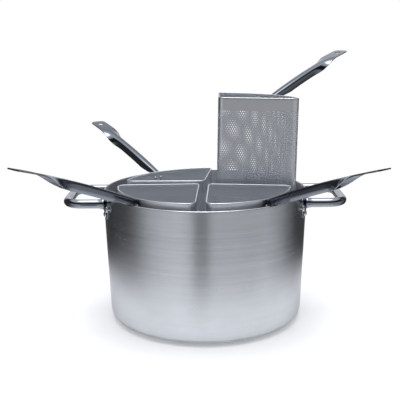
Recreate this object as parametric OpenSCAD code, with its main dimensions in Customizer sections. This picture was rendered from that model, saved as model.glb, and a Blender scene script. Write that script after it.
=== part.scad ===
// Pasta pot with four quarter-round strainer baskets. One basket hangs by its
// drain hook on the pot's rim, the other three stand on the pot's floor.
// Origin: centre of the pot's underside. +Z up, the front is -Y. Millimetres.

/* [Pot] */
// Outer radius of the pot at its rim
pot_r = 180; // [165:1:200]
// How much smaller the radius is at the underside than at the rim
pot_draft = 8; // [5:0.5:12]
// Height of the pot
pot_h = 230; // [200:1:270]
// Thickness of the pot's wall
pot_wall = 3.5; // [2.5:0.1:4.5]
// Thickness of the pot's floor
pot_floor = 6; // [4:0.5:9]
// Outer radius of the bottom corner
pot_corner_r = 20; // [14:1:26]
// Inner radius of the bottom corner
pot_inner_corner_r = 12; // [8:1:18]
// Bevel on the two edges of the rim
rim_bevel = 0.8; // [0.3:0.1:1.2]

/* [Pot handles] */
// Diameter of the handle tube
tube_d = 15.5; // [10:0.5:18]
// Distance from the rim's outer edge to the middle of the outer bar
loop_reach = 58; // [50:1:75]
// Distance between the middles of the two legs
loop_span = 124; // [100:1:140]
// Bend radius of the tube at its middle
loop_bend_r = 28; // [20:1:34]
// Distance from the rim down to the middle of the tube
loop_drop = 14; // [10:0.5:20]
// Width of a lug across its top
lug_w = 42; // [34:1:50]
// Height of a lug
lug_h = 36; // [30:1:44]
// Thickness of a lug
lug_t = 3; // [2:0.5:4]
// Distance from the rim down to the top of a lug
lug_drop = 4; // [3:0.5:8]
// Shank diameter of the pot's rivets
pot_rivet_d = 6; // [4:0.5:7]
// Head diameter of the pot's rivets
pot_rivet_head_d = 11; // [9:0.5:13]
// Head height of the pot's rivets
pot_rivet_head_h = 3; // [2:0.25:4]
// Distance between the two upper rivets of a lug
lug_rivet_pitch = 24; // [20:1:28]

/* [Baskets] */
// Radius of a basket's round wall, from the pot's axis
basket_r = 146; // [135:1:150]
// Height of a standing basket's rim over the pot's rim
basket_rise = 8.3; // [5:0.1:14]
// Thickness of the basket sheet
sheet = 1; // [0.8:0.1:1.5]
// Gap between neighbouring baskets at the floor
basket_gap = 3.6; // [2:0.2:8]
// Outer radius of the upright corner at the pot's axis
basket_corner_r = 9; // [6:1:14]
// Outer radius of the two upright corners at the round wall
basket_end_r = 12; // [8:1:16]
// Height of the hem folded in along the rim
hem_h = 5; // [3:0.5:8]
// Height of the flange around the base, inside the wall
flange_h = 7; // [5:0.5:12]
// Clearance under a basket that stands on the floor
floor_clear = 0.3; // [0.2:0.1:0.6]

/* [Basket holes] */
// Diameter of a hole in the base
base_hole_d = 6; // [3:0.5:8]
// Spacing of the holes in the base
base_pitch = 12; // [9:0.5:16]
// Plain margin of the base around its holes
base_margin = 12; // [8:1:20]

/* [Basket handle] */
// Length of the handle along its ridge
grip_len = 231; // [200:1:260]
// Slope of the handle at the basket
grip_slope_root = 25.5; // [18:0.5:30]
// Slope of the handle at its tip
grip_slope_tip = 17; // [10:0.5:24]
// Length of the flat tab at the tip
tab_len = 41; // [34:1:60]
// Width of the flat tab
tab_w = 32; // [26:1:38]
// Corner radius at the tip of the tab
tab_corner_r = 8; // [5:0.5:12]
// Thickness of the handle sheet
grip_t = 2; // [1.5:0.1:2.5]
// Half width of the ridge between the two folds
ridge_half = 3.2; // [2.5:0.1:6]
// Length over which the sides fold down behind the tab
fold_run = 70; // [40:1:90]
// Length of a folded side at its deepest
side_deep = 19; // [16:0.5:22]
// Length of a folded side at the basket
side_root = 12; // [10:0.5:16]
// Length over which the sides deepen, from the basket outwards
root_run = 50; // [30:1:80]
// Diameter of the hanging hole
hang_hole_d = 11; // [8:0.5:14]
// Distance from the tip to the middle of the hanging hole
hang_hole_in = 15; // [12:0.5:20]
// Width of the riveted plate at the handle's root
root_plate_w = 28; // [26:1:36]
// Height of the riveted plate at the handle's root
root_plate_h = 24; // [20:1:32]
// Distance from the rim down to the basket's rivets
basket_rivet_drop = 12.5; // [10:0.5:16]
// Distance between the two basket rivets
basket_rivet_pitch = 12.5; // [10:0.5:16]
// Shank diameter of the basket rivets
basket_rivet_d = 4; // [3:0.5:5]
// Head diameter of the basket rivets
basket_rivet_head_d = 7; // [6:0.5:9]
// Head height of the basket rivets
basket_rivet_head_h = 2; // [1.5:0.25:3]

/* [Drain hook] */
// Height of the hook's seat above the basket's underside
hook_z = 78.5; // [50:0.5:120]
// Width of the hook strap
hook_w = 22; // [16:1:30]
// Thickness of the hook strap
hook_t = 1.5; // [1:0.25:2]
// Clearance between the rim and the hook on each side
hook_clear = 1; // [0.7:0.1:1.5]
// Length of the hook's free leg
hook_leg = 16; // [12:1:22]
// Length of the strap welded to the basket below the seat
hook_pad = 24; // [18:1:32]

/* [Places] */
// Turn of the two front baskets about the pot's axis
front_turn = -2.2; // [-5:0.1:0]
// Turn of the rear left basket about the pot's axis
rear_turn = -5.8; // [-7:0.1:0]
// Outward lean of a standing basket
stand_lean = 1.4; // [0.6:0.1:1.6]
// Turn of the hanging basket about the pot's axis
hang_turn = -1; // [-3:0.5:3]
// Outward lean of the hanging basket
hang_lean = 1.6; // [1:0.1:2]
// Clearance between the rim and the seat of the hook on it
hang_clear = 0.35; // [0.3:0.05:0.6]
// Shift of the front left basket to the right
front_left_x = -3; // [-5:0.5:0]
// Shift of the front left basket to the rear
front_left_y = -12.5; // [-14:0.5:0]
// Shift of the front right basket to the right
front_right_x = 0.5; // [0:0.5:5]
// Shift of the front right basket to the rear
front_right_y = -13; // [-14:0.5:0]
// Shift of the rear left basket to the right
rear_left_x = 5; // [0:0.5:6]
// Shift of the rear left basket to the rear
rear_left_y = -1; // [-3:0.5:5]

/* [Hidden] */
eps = 0.01;
round_fn = 128;
small_fn = 32;
rivet_clear = 0.05;
half_gap = basket_gap / 2;
pot_foot_r = pot_r - pot_draft;
basket_h = pot_h + basket_rise - pot_floor - floor_clear;
taper = atan((pot_r - pot_foot_r) / pot_h);
tube_z = pot_h - loop_drop;
lug_top = pot_h - lug_drop;
lug_bottom_w = 13;
lug_corner_r = 6;
lug_angle = asin(loop_span / 2 / pot_r);
lug_rivet_top = 17;
lug_rivet_low = 28;
lug_band_angle = 24;
fold_tight = 84;
fold_slow = 30;
fold_tight_share = 0.35;
grip_drop = 1;
hook_gap = pot_wall + 2 * hook_clear;
seat_r = basket_r + hook_t + hook_gap / 2;
rim_mid_r = pot_r - pot_wall / 2;
sides = ["left", "right"];

// Points of a circular arc about c, from angle a0 to a1 in n steps
function arc(c, r, a0, a1, n) =
    [for (i = [0 : n]) let (a = a0 + (a1 - a0) * i / n) c + r * [cos(a), sin(a)]];

// Radius of the pot's outer face at height z
function pot_face(z) = pot_foot_r + z * tan(taper);

// Middle of the arc that blends a floor at height z into a face that lies
// inset from the pot's outer face
function blend_x(inset, z, r) = pot_face(z + r) - (inset + r) / cos(taper);

// Pot: one drawn shell, kept here as its floor and its wall, which meet at the
// height of the floor's upper face

// Middle of the outer bottom corner, and the angle at which the parts meet on it
outer_corner = [blend_x(0, 0, pot_corner_r), pot_corner_r];
meet_angle = asin((pot_floor - pot_corner_r) / pot_corner_r);

function wall_profile() = let (
        inner_x = blend_x(pot_wall, pot_floor, pot_inner_corner_r),
        inner_top = pot_r - pot_wall / cos(taper)
    ) concat(
        arc(outer_corner, pot_corner_r, meet_angle, -taper, 8),
        [[pot_r - rim_bevel * tan(taper), pot_h - rim_bevel], [pot_r - rim_bevel, pot_h],
         [inner_top + rim_bevel, pot_h], [inner_top, pot_h - rim_bevel]],
        arc([inner_x, pot_floor + pot_inner_corner_r], pot_inner_corner_r, -taper, -90, 8));

module pot_floor_disc() color([0.74, 0.75, 0.77]) rotate_extrude($fn = round_fn)
    polygon(concat([[0, 0]], arc(outer_corner, pot_corner_r, -90, meet_angle, 6), [[0, pot_floor]]));

module pot_shell() color([0.74, 0.75, 0.77]) difference() {
    rotate_extrude($fn = round_fn) polygon(wall_profile());
    for (side = sides, leg = [-1, 1]) at_lug_rivets(side, leg)
        cylinder(d = pot_rivet_d + 2 * rivet_clear, h = 30, center = true, $fn = small_fn);
}

// Carries its children from a lug's upright mid line, at angle 0 on the pot, to a lug
module at_lug(side, leg) {
    half_turn = side == "left" ? 180 : 0;
    rotate([0, 0, half_turn + leg * lug_angle]) children();
}

// Carries its children, along Z, to each rivet of a lug, square to the pot's wall
module at_lug_rivets(side, leg) {
    places = [[-lug_rivet_pitch / 2, lug_rivet_top], [lug_rivet_pitch / 2, lug_rivet_top],
              [0, lug_rivet_low]];
    at_lug(side, leg) for (p = places) {
        z = lug_top - p[1];
        r = pot_face(z);
        rotate([0, 0, asin(p[0] / r)]) translate([r, 0, z]) rotate([0, 90 + taper, 0]) children();
    }
}

// Points of an outline with rounded corners; each corner is [x, y, radius]
function rounded(corners, n = 5) = [
    for (i = [0 : len(corners) - 1]) let (
            here = corners[i],
            before = corners[(i + len(corners) - 1) % len(corners)],
            after = corners[(i + 1) % len(corners)],
            c = [here[0], here[1]],
            u = unit([before[0], before[1]] - c),
            v = unit([after[0], after[1]] - c),
            half = acos(u * v) / 2,
            mid = c + unit(u + v) * here[2] / sin(half),
            start = c + u * here[2] / tan(half) - mid,
            finish = c + v * here[2] / tan(half) - mid,
            a0 = atan2(start[1], start[0]),
            sweep = turn_between(a0, atan2(finish[1], finish[0]))
        ) each arc(mid, here[2], a0, a0 + sweep, n)];

function unit(v) = v / norm(v);

function turn_between(a, b) = let (d = b - a) d > 180 ? d - 360 : d < -180 ? d + 360 : d;

// Shield-shaped outline of a lug, with its top at height 0
function lug_outline() = rounded([
    [-lug_w / 2, 0, lug_corner_r], [-lug_bottom_w / 2, -lug_h, lug_corner_r],
    [lug_bottom_w / 2, -lug_h, lug_corner_r], [lug_w / 2, 0, lug_corner_r]]);

// Band that lies on the pot's outer face, as thick as the lugs
module lug_band(angle) {
    low = lug_top - lug_h - 1;
    high = lug_top + 1;
    rotate([0, 0, -angle / 2]) rotate_extrude(angle = angle, $fn = round_fn)
        polygon([[pot_face(low), low], [pot_face(low) + lug_t, low],
                 [pot_face(high) + lug_t, high], [pot_face(high), high]]);
}

module lugs(side) color([0.55, 0.57, 0.60]) for (leg = [-1, 1]) difference() {
    at_lug(side, leg) intersection() {
        lug_band(lug_band_angle);
        translate([pot_r - 30, 0, lug_top]) rotate([90, 0, 90])
            linear_extrude(60) polygon(lug_outline());
    }
    at_lug_rivets(side, leg)
        cylinder(d = pot_rivet_d + 2 * rivet_clear, h = 30, center = true, $fn = small_fn);
}

// Bent tube in the plane of its middle line, open towards -X
module loop_tube() {
    reach = pot_r + loop_reach;
    straight = reach - loop_bend_r;
    half = loop_span / 2 - loop_bend_r;
    for (s = [-1, 1]) {
        translate([pot_r * 0.8, s * loop_span / 2, 0]) rotate([0, 90, 0])
            cylinder(d = tube_d, h = straight - pot_r * 0.8, $fn = small_fn);
        translate([straight, s * half, 0]) rotate([0, 0, s > 0 ? 0 : -90])
            rotate_extrude(angle = 90, $fn = round_fn)
                translate([loop_bend_r, 0]) circle(d = tube_d, $fn = small_fn);
    }
    translate([reach, -half, 0]) rotate([-90, 0, 0])
        cylinder(d = tube_d, h = 2 * half, $fn = small_fn);
}

// The tube ends on the outer faces of its lugs
module pot_handle(side) color([0.55, 0.57, 0.60]) difference() {
    rotate([0, 0, side == "left" ? 180 : 0]) translate([0, 0, tube_z]) loop_tube();
    rotate_extrude($fn = round_fn)
        polygon([[0, pot_h / 2], [pot_face(pot_h / 2) + lug_t, pot_h / 2],
                 [pot_face(pot_h + 20) + lug_t, pot_h + 20], [0, pot_h + 20]]);
}

// Rivet along Z: grip from z = -depth to 0, a domed head above and one below
module rivet(shank_d, head_d, head_h, depth, tail_h) {
    dome_r = (head_d * head_d / 4 + head_h * head_h) / (2 * head_h);
    dome_a = asin(head_d / 2 / dome_r);
    tail_r = (head_d * head_d / 4 + tail_h * tail_h) / (2 * tail_h);
    tail_a = asin(head_d / 2 / tail_r);
    rotate_extrude($fn = small_fn) polygon(concat(
        arc([0, head_h - dome_r], dome_r, 90, 90 - dome_a, 6),
        [[shank_d / 2, 0], [shank_d / 2, -depth]],
        arc([0, tail_r - depth - tail_h], tail_r, tail_a - 90, -90, 6)));
}

module pot_rivets(side) color([0.62, 0.64, 0.67])
    for (leg = [-1, 1]) at_lug_rivets(side, leg) translate([0, 0, lug_t + rivet_clear])
        rivet(pot_rivet_d, pot_rivet_head_d, pot_rivet_head_h,
              lug_t + pot_wall + 4 * rivet_clear, pot_rivet_head_h / 2);

// Baskets, in their own frame: the pot's axis at the origin, straight walls
// along +X and +Y, the round wall about the origin and the underside at z = 0

// Outline of the quarter-round basket, inset by o
function basket_outline(o) = let (
        g = half_gap + o,
        r = basket_r - o,
        rc = basket_corner_r - o,
        re = basket_end_r - o,
        cx = sqrt(pow(r - re, 2) - pow(g + re, 2)),
        ta = atan2(g + re, cx),
        n = 30
    ) concat(
        arc([g + rc, g + rc], rc, 180, 270, 6),
        arc([cx, g + re], re, -90, ta, 6),
        [for (i = [1 : n - 1]) let (a = ta + (90 - 2 * ta) * i / n) r * [cos(a), sin(a)]],
        arc([g + re, cx], re, 90 - ta, 180, 6));

// Ring of the basket's outline between two insets
module basket_ring(outer, inner, z, h) translate([0, 0, z]) difference() {
    linear_extrude(h) polygon(basket_outline(outer));
    translate([0, 0, -1]) linear_extrude(h + 2) polygon(basket_outline(inner));
}

// Carries its children from the +X direction to the middle of the round wall
module outward() rotate([0, 0, 45]) children();

module at_basket_rivets() outward() for (s = [-1, 1])
    rotate([0, 0, s * asin(basket_rivet_pitch / 2 / basket_r)])
        translate([basket_r, 0, basket_h - basket_rivet_drop]) rotate([0, 90, 0]) children();

module basket_wall() difference() {
    union() {
        basket_ring(0, sheet, 0, basket_h);
        basket_ring(sheet - eps, 2 * sheet, basket_h - hem_h, hem_h);
        basket_ring(sheet - eps, 2 * sheet, sheet, flange_h - sheet);
    }
    at_basket_rivets()
        cylinder(d = basket_rivet_d + 2 * rivet_clear, h = 20, center = true, $fn = small_fn);
}

// Centres of the base's holes, staggered, clear of the outline by base_margin
function base_holes() = let (
        row = base_pitch * sqrt(3) / 2,
        low = half_gap + base_margin,
        far = basket_r - base_margin,
        n = floor((far - low) / row)
    ) [for (j = [0 : n], i = [0 : floor((far - low) / base_pitch)]) let (
            p = [low + (i + (j % 2) / 2) * base_pitch, low + j * row]
        ) if (norm(p) < far && p[0] + p[1] > 2 * low + base_pitch / 2) p];

module basket_base() difference() {
    linear_extrude(sheet) polygon(basket_outline(sheet));
    for (p = base_holes()) translate([p[0], p[1], -1])
        cylinder(d = base_hole_d, h = sheet + 2, $fn = 16);
}

// Handle: one sheet folded down on both sides of a bent ridge

// Slope of the ridge at length s
function ridge_slope(s) = grip_slope_root + (grip_slope_tip - grip_slope_root) * s / grip_len;

// Point of the ridge at length s, an arc that bends downwards
function ridge_point(s) = let (
        r = grip_len / ((grip_slope_root - grip_slope_tip) * PI / 180),
        a = ridge_slope(s)
    ) [basket_r + grip_t / 2 + r * (sin(grip_slope_root) - sin(a)),
       basket_h - grip_drop + r * (cos(a) - cos(grip_slope_root))];

function smooth(t) = let (c = min(1, max(0, t))) c * c * (3 - 2 * c);

// Share of the full fold at length s, 0 on the flat tab
function fold_share(s) = smooth((grip_len - tab_len - s) / fold_run);

// Length of each side beyond the ridge, measured on the sheet
function side_length(s) = let (
        body = side_root + (side_deep - side_root) * smooth(s / root_run),
        nose = max(0, (s - grip_len + tab_corner_r) / tab_corner_r),
        tab = tab_w / 2 - ridge_half - tab_corner_r * (1 - sqrt(max(0, 1 - nose * nose)))
    ) tab * (1 - fold_share(s)) + body * fold_share(s);

// Place and turn of the sheet at v beyond the ridge: a tight fold, then a slow one
function folded(v, s) = let (
        side = side_length(s),
        first = fold_tight_share * side,
        a1 = max(0.05, fold_tight * fold_share(s)),
        a2 = max(0.05, fold_slow * fold_share(s)),
        r1 = first / (a1 * PI / 180),
        r2 = (side - first) / (a2 * PI / 180),
        a = v < first ? a1 * v / first : a1 + a2 * (v - first) / (side - first)
    ) v < first
        ? [ridge_half + r1 * sin(a), r1 * (cos(a) - 1), a]
        : [ridge_half + r1 * sin(a1) + r2 * (sin(a) - sin(a1)),
           r1 * (cos(a1) - 1) + r2 * (cos(a) - cos(a1)), a];

// Half of the section at length s, from the ridge to the edge, depth below the skin
function half_section(s, depth) = [
    for (k = [0, 0.12, 0.24, 0.35, 0.55, 0.78, 1]) let (
            v = k * side_length(s),
            p = folded(v, s)
        ) [p[0] - depth * sin(p[2]), p[1] - depth * cos(p[2])]];

function mirrored(points) = [for (i = [len(points) - 1 : -1 : 0]) [-points[i][0], points[i][1]]];

function backwards(points) = [for (i = [len(points) - 1 : -1 : 0]) points[i]];

function section(s) = let (
        skin = half_section(s, 0),
        inside = half_section(s, grip_t)
    ) concat(mirrored(skin), skin, backwards(inside), backwards(mirrored(inside)));

// Solid that follows the section along the ridge through the given lengths
module grip_sweep(lengths) {
    rings = [for (s = lengths) let (o = ridge_point(s), a = ridge_slope(s))
        [for (p = section(s)) [o[0] - p[1] * sin(a), p[0], o[1] + p[1] * cos(a)]]];
    m = len(rings[0]);
    last = len(rings) - 1;
    walls = [for (j = [0 : last - 1], i = [0 : m - 1]) let (
            a = j * m + i,
            b = j * m + (i + 1) % m
        ) each [[a, b, a + m], [b, b + m, a + m]]];
    half = m / 2;
    caps = [for (i = [0 : half - 2]) each [
        [i, m - 1 - i, i + 1], [i + 1, m - 1 - i, m - 2 - i],
        [last * m + i, last * m + i + 1, last * m + m - 1 - i],
        [last * m + i + 1, last * m + m - 2 - i, last * m + m - 1 - i]]];
    polyhedron([for (r = rings) each r], concat(walls, caps));
}

module basket_handle() outward() {
    fold_end = grip_len - tab_len;
    fold_start = fold_end - fold_run;
    lengths = concat(
        [for (i = [0 : 7]) fold_start * i / 8],
        [for (i = [0 : 9]) fold_start + fold_run * i / 10],
        [fold_end, grip_len - tab_corner_r],
        [for (q = [25, 50, 70, 90]) grip_len - tab_corner_r + tab_corner_r * sin(q)]);
    hole = grip_len - hang_hole_in;
    o = ridge_point(hole);
    difference() {
        union() {
            grip_sweep(lengths);
            root_plate();
        }
        translate([o[0], 0, o[1]]) rotate([0, -ridge_slope(hole), 0])
            cylinder(d = hang_hole_d, h = 20, center = true, $fn = small_fn);
        rotate([0, 0, -45]) at_basket_rivets()
            cylinder(d = basket_rivet_d + 2 * rivet_clear, h = 20, center = true, $fn = small_fn);
    }
}

// Plate that lies on the round wall under the rim, about +X
module root_plate() {
    angle = 2 * asin(root_plate_w / 2 / basket_r);
    top = basket_h - grip_drop;
    rotate([0, 0, -angle / 2]) rotate_extrude(angle = angle, $fn = round_fn)
        polygon([[basket_r, top - root_plate_h], [basket_r + grip_t, top - root_plate_h],
                 [basket_r + grip_t, top], [basket_r, top]]);
}

module basket_rivets() at_basket_rivets()
    translate([0, 0, grip_t + rivet_clear])
        rivet(basket_rivet_d, basket_rivet_head_d, basket_rivet_head_h,
              grip_t + sheet + 4 * rivet_clear, basket_rivet_head_h);

module basket_hook() outward() {
    angle = 2 * asin(hook_w / 2 / basket_r);
    r0 = basket_r;
    r1 = r0 + hook_t;
    r2 = r1 + hook_gap;
    r3 = r2 + hook_t;
    top = hook_z + hook_t;
    rotate([0, 0, -angle / 2]) rotate_extrude(angle = angle, $fn = round_fn)
        polygon([[r0, hook_z - hook_pad], [r1, hook_z - hook_pad], [r1, hook_z], [r2, hook_z],
                 [r2, hook_z - hook_leg], [r3, hook_z - hook_leg], [r3, top], [r0, top]]);
}

module basket_piece(piece) {
    if (piece == "wall") color([0.70, 0.72, 0.75]) basket_wall();
    if (piece == "base") color([0.64, 0.66, 0.69]) basket_base();
    if (piece == "handle") color([0.50, 0.52, 0.56]) basket_handle();
    if (piece == "rivets") color([0.80, 0.81, 0.83]) basket_rivets();
    if (piece == "hook") color([0.60, 0.62, 0.66]) basket_hook();
}

// Leans its children outwards by angle a about the line at radius r, height 0
module leaned(r, a) outward() translate([r, 0, 0]) rotate([0, a, 0]) translate([-r, 0, 0])
    rotate([0, 0, -45]) children();

// A basket that stands on the floor, turned by angle turn
module standing(turn, x, y) translate([x, y, pot_floor + floor_clear])
    rotate([0, 0, turn]) leaned(basket_r, stand_lean) children();

// A basket that hangs by its hook on the rim in the quarter that starts at angle 0
module hanging() rotate([0, 0, 45 + hang_turn]) translate([rim_mid_r, 0, pot_h + hang_clear])
    rotate([0, hang_lean, 0]) translate([-seat_r, 0, -hook_z]) rotate([0, 0, -45]) children();

module front_left(piece)
    standing(180 + front_turn, front_left_x, front_left_y) basket_piece(piece);
module front_right(piece)
    standing(270 + front_turn, front_right_x, front_right_y) basket_piece(piece);
module back_left(piece)
    standing(90 + rear_turn, rear_left_x, rear_left_y) basket_piece(piece);
module back_right(piece) hanging() basket_piece(piece);

pot_shell();  // pot_wall
pot_floor_disc();  // pot_floor
pot_handle("left");  // pot_handle_left
pot_handle("right");  // pot_handle_right
lugs("left");  // pot_handle_lugs_left
lugs("right");  // pot_handle_lugs_right
pot_rivets("left");  // pot_rivets_left
pot_rivets("right");  // pot_rivets_right
front_left("wall");  // basket_front_left_wall
front_left("base");  // basket_front_left_base
front_left("handle");  // basket_front_left_handle
front_left("rivets");  // basket_front_left_rivets
front_left("hook");  // basket_front_left_hook
front_right("wall");  // basket_front_right_wall
front_right("base");  // basket_front_right_base
front_right("handle");  // basket_front_right_handle
front_right("rivets");  // basket_front_right_rivets
front_right("hook");  // basket_front_right_hook
back_left("wall");  // basket_back_left_wall
back_left("base");  // basket_back_left_base
back_left("handle");  // basket_back_left_handle
back_left("rivets");  // basket_back_left_rivets
back_left("hook");  // basket_back_left_hook
back_right("wall");  // basket_back_right_wall
back_right("base");  // basket_back_right_base
back_right("handle");  // basket_back_right_handle
back_right("rivets");  // basket_back_right_rivets
back_right("hook");  // basket_back_right_hook
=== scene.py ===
"""Pasta pot with four quarter-round strainer baskets, dressed around its solids.

Lengths are in metres and angles in degrees. The pot stands on its underside's
centre at the origin, +Z is up and the front is -Y. A basket is shaped in a
frame of its own, with the pot's axis at the origin, its straight walls along
+X and +Y, and its underside at z = 0, and is then put in its quarter.
"""

import math

import bpy
import numpy as np
from bpy.props import FloatProperty, FloatVectorProperty, PointerProperty
from mathutils import Matrix
from mathutils.geometry import delaunay_2d_cdt


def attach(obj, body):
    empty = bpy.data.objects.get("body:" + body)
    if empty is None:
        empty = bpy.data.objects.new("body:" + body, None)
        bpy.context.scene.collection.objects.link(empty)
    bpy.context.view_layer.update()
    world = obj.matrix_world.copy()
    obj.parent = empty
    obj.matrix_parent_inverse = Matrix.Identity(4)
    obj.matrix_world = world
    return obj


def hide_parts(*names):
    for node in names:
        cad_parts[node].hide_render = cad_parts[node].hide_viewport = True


bl_info = {
    "name": "Pasta Pot with Strainer Baskets",
    "version": (1, 0, 0),
    "blender": (4, 5, 0),
    "location": "View3D > Sidebar > Pasta Pot",
    "description": "Builds a large pot with four perforated quarter-round baskets",
    "category": "Add Mesh",
}

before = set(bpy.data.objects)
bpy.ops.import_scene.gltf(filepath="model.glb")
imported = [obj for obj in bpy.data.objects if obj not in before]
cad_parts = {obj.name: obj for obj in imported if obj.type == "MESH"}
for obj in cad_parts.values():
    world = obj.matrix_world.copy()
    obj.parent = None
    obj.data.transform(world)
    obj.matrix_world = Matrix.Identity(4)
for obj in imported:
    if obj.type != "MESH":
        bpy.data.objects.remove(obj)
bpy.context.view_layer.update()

SIDES = {"left": 180.0, "right": 0.0}
BASKETS = ("front_left", "front_right", "back_left", "back_right")
# Tint of the room, and its brightness round the pot, by place on a full turn: 0 and 1 lie
# behind the pot, a half towards the camera
COOL = (0.985, 1.0, 1.03)
ROOM_TONES = (
    (0.00, 0.30), (0.03, 0.22), (0.07, 0.08), (0.13, 0.05), (0.23, 0.07), (0.27, 0.17),
    (0.325, 0.48), (0.37, 0.60), (0.42, 0.68), (0.45, 0.60), (0.475, 0.20), (0.50, 0.18),
    (0.525, 0.52), (0.58, 0.50), (0.65, 0.46), (0.70, 0.50), (0.76, 0.32), (0.80, 0.16),
    (0.84, 0.06), (0.93, 0.07), (0.97, 0.22), (1.00, 0.30),
)
# The table is whole up to the first distance from the pot's axis and gone at the second
TABLE_FADE = (0.24, 0.52)
# Sides of a hole in a basket, and steps round the pot's shell
HOLE_SIDES = 8
SHELL_STEPS = 256
# A handle tube is wider at its lugs by this share, which fades over this length
FLARE, FLARE_RUN = 0.28, 0.012
# Rivets of a lug: sideways from its middle, and down from its top
LUG_RIVETS = ((-0.012, 0.017), (0.012, 0.017), (0.0, 0.028))
POT_SHANK, BASKET_SHANK = 0.006, 0.004
# Bend of a base's turned-up edge, and inner bend of a drain hook
BASE_BEND, HOOK_BEND = 0.003, 0.0012
# Half side of the square in a handle's tab that the hanging hole is set in
HOLE_PAD = 0.0066
# A plate or a hook lies this far off its basket's wall, and a base's edge this far inside it
SKIN_GAP, EDGE_GAP = 0.00002, 0.00005
# Play under a rivet's outer head, and under both heads of a basket's rivet
POT_SEAT, BASKET_SEAT, BASKET_PLAY = 0.0002, 0.00005, 0.00025
# A handle's ridge starts this far under its basket's rim
GRIP_DROP = 0.001


def length(name, description, default):
    """A length that a user can change."""
    return FloatProperty(
        name=name, description=description, default=default, unit="LENGTH", min=0.0
    )


def angle(name, description, default):
    """An angle in degrees that a user can change."""
    return FloatProperty(name=name, description=description, default=default)


def shift(name, description, default):
    """A shift to the right and to the rear that a user can change."""
    return FloatVectorProperty(
        name=name, description=description, default=default, size=2, unit="LENGTH"
    )


def colour(name, description, default):
    """A colour that a user can change."""
    return FloatVectorProperty(
        name=name, description=description, default=default, subtype="COLOR", size=3,
        min=0.0, max=1.0,
    )


# Sizes and colours


class PotSizes(bpy.types.PropertyGroup):
    """Sizes of the pot, its handles and its lugs"""

    rim_radius: length("Rim radius", "Outer radius of the pot at its rim", 0.180)
    foot_radius: length("Foot radius", "Outer radius of the wall's line at the underside", 0.172)
    height: length("Height", "Height of the pot", 0.230)
    wall: length("Wall", "Thickness of the pot's wall", 0.0035)
    floor: length("Floor", "Thickness of the pot's floor", 0.006)
    corner: length("Corner", "Outer radius of the bottom corner", 0.020)
    inner_corner: length("Inner corner", "Inner radius of the bottom corner", 0.012)
    tube: length("Tube", "Diameter of the handle tube", 0.0155)
    reach: length("Reach", "From the rim to the middle of the outer bar", 0.058)
    span: length("Span", "Distance between the two legs", 0.124)
    bend: length("Bend", "Bend radius of the tube", 0.028)
    drop: length("Drop", "From the rim down to the tube's middle", 0.014)
    lug_width: length("Lug width", "Width of a lug across its top", 0.042)
    lug_foot: length("Lug foot", "Width of a lug at its bottom", 0.013)
    lug_height: length("Lug height", "Height of a lug", 0.036)
    lug_thickness: length("Lug thickness", "Thickness of a lug", 0.003)
    lug_drop: length("Lug drop", "From the rim down to the top of a lug", 0.004)
    rivet_head: length("Rivet head", "Head diameter of the pot's rivets", 0.011)
    rivet_rise: length("Rivet rise", "Head height of the pot's rivets", 0.003)


class BasketSizes(bpy.types.PropertyGroup):
    """Sizes of the strainer baskets"""

    radius: length("Radius", "Radius of the round wall from the pot's axis", 0.146)
    height: length("Height", "Height of a basket", 0.232)
    sheet: length("Sheet", "Thickness of the perforated sheet", 0.001)
    gap: length("Gap", "Gap between neighbouring baskets", 0.0036)
    corner: length("Axis corner", "Radius of the upright corner at the pot's axis", 0.009)
    end_corner: length("End corners", "Radius of the two other upright corners", 0.012)
    hem: length("Hem", "Height of the hem folded in at the rim", 0.005)
    flange: length("Flange", "Height of the base's turned-up edge", 0.007)
    hole: length("Hole", "Diameter of a hole", 0.0025)
    pitch: length("Pitch", "Distance between holes in a row", 0.0044)
    band_top: length("Top band", "Height of the plain band under the rim", 0.0225)
    band_low: length("Low band", "Height of the plain band over the underside", 0.008)
    base_margin: length("Base margin", "Plain margin around the base's holes", 0.007)


class GripSizes(bpy.types.PropertyGroup):
    """Sizes of a basket's handle, its rivets and its drain hook"""

    long: length("Length", "Length of the handle along its ridge", 0.231)
    slope_root: angle("Root slope", "Slope of the handle at the basket", 25.5)
    slope_tip: angle("Tip slope", "Slope of the handle at its tip", 17.0)
    tab: length("Tab length", "Length of the flat tab", 0.041)
    tab_width: length("Tab width", "Width of the flat tab", 0.032)
    tab_corner: length("Tab corner", "Corner radius at the tip of the tab", 0.008)
    sheet: length("Sheet", "Thickness of the handle's sheet", 0.002)
    ridge: length("Ridge", "Half width of the ridge between the folds", 0.0032)
    fold_run: length("Fold run", "Length over which the sides fold down", 0.070)
    side_deep: length("Deep side", "Length of a folded side at its deepest", 0.019)
    side_root: length("Root side", "Length of a folded side at the basket", 0.012)
    root_run: length("Root run", "Length over which the sides deepen from the basket", 0.050)
    tight: angle("Tight fold", "Angle of the tight fold next to the ridge", 84.0)
    slow: angle("Slow fold", "Angle over which the rest of a side bends on", 30.0)
    hole: length("Hanging hole", "Diameter of the hanging hole", 0.011)
    hole_in: length("Hole from tip", "From the tip to the middle of the hole", 0.015)
    plate_width: length("Plate width", "Width of the riveted plate", 0.028)
    plate_height: length("Plate height", "Height of the riveted plate", 0.024)
    rivet_drop: length("Rivet drop", "From the rim down to the rivets", 0.0125)
    rivet_pitch: length("Rivet pitch", "Distance between the two rivets", 0.0125)
    rivet_head: length("Rivet head", "Head diameter of a rivet", 0.007)
    rivet_rise: length("Rivet rise", "Head height of a rivet", 0.002)
    hook_seat: length("Hook seat", "Height of the hook's seat over the underside", 0.0785)
    hook_width: length("Hook width", "Width of the hook strap", 0.022)
    hook_sheet: length("Hook sheet", "Thickness of the hook strap", 0.0015)
    hook_clear: length("Hook clearance", "Clearance between rim and hook", 0.001)
    hook_leg: length("Hook leg", "Length of the hook's free leg", 0.016)
    hook_pad: length("Hook pad", "Length of the strap on the basket", 0.024)


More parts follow.
